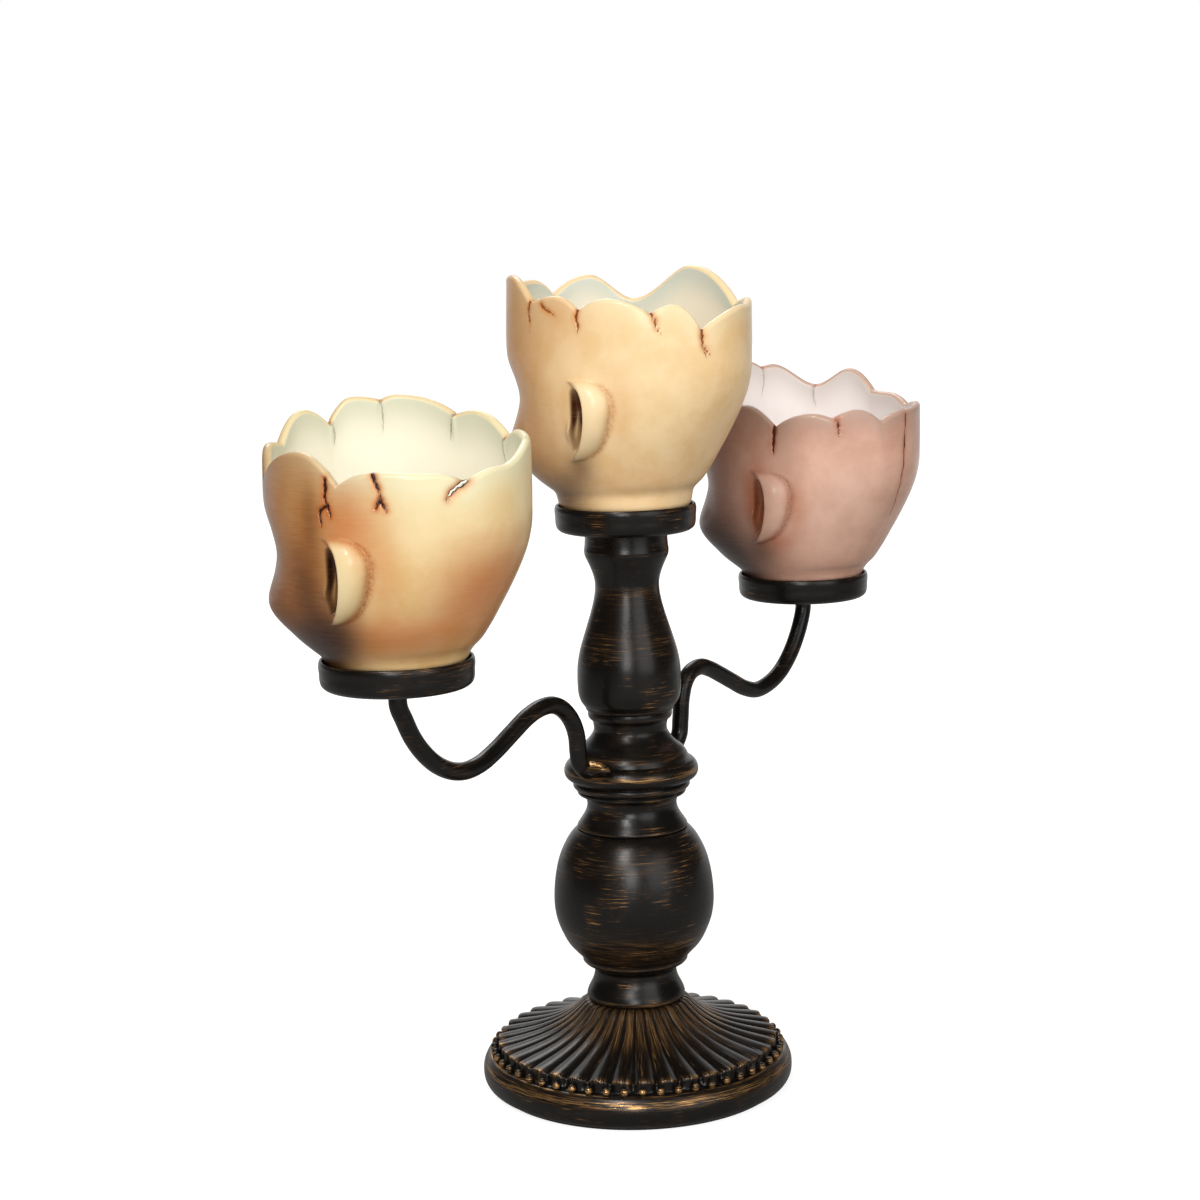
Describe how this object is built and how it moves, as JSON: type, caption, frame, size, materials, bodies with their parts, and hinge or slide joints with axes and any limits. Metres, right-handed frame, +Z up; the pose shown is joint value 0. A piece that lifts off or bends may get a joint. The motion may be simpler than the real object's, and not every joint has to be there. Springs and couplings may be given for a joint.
{
  "type": "candelabra",
  "caption": "Dark bronze candelabra with a beaded, fluted foot, S-curved arms and cracked-open doll heads standing loose in its pans.",
  "frame": {"origin": "centre of the felt ring's underside, on the axis of the stem", "axes": "+Z up along the stem; the arms lie along X, with the longer one at -X; the faces of the heads look along +Y"},
  "size_m": [0.4219, 0.1556, 0.4055],
  "materials": {
    "dark_bronze": "satin near-black paint rubbed back to bronze along fine turned streaks and on the beads and edges",
    "steel": "plain zinc-plated fasteners",
    "felt": "short dark felt",
    "head_cream": "glossy cream glaze with peach and brown airbrushed shading",
    "head_beige": "glossy beige glaze with tan airbrushed shading",
    "head_mauve": "glossy mauve-pink glaze with orange shading at the ear"
  },
  "bodies": {
    "stand": {"foot_dome": "dark_bronze", "foot_felt": "felt", "foot_collar": "dark_bronze", "globe": "dark_bronze", "globe_neck": "dark_bronze", "arm_ring": "dark_bronze", "vase_collar": "dark_bronze", "vase": "dark_bronze", "top_collar": "dark_bronze", "pan_centre": "dark_bronze", "pan_left": "dark_bronze", "pan_right": "dark_bronze", "arm_left": "dark_bronze", "arm_right": "dark_bronze", "insert_left": "steel", "insert_right": "steel", "pan_screw_left": "steel", "pan_screw_right": "steel", "centre_rod": "steel", "foot_washer": "steel", "foot_nut": "steel", "top_washer": "steel", "top_nut": "steel"},
    "left_head": {"head_left": "head_cream"},
    "centre_head": {"head_centre": "head_beige"},
    "right_head": {"head_right": "head_mauve"}
  },
  "joints": [
    {"name": "left_head_lift", "type": "slide", "parent": "stand", "child": "left_head", "axis": [0, 0, 1], "range_m": [0, 0.05]},
    {"name": "centre_head_lift", "type": "slide", "parent": "stand", "child": "centre_head", "axis": [0, 0, 1], "range_m": [0, 0.05]},
    {"name": "right_head_lift", "type": "slide", "parent": "stand", "child": "right_head", "axis": [0, 0, 1], "range_m": [0, 0.05]}
  ]
}
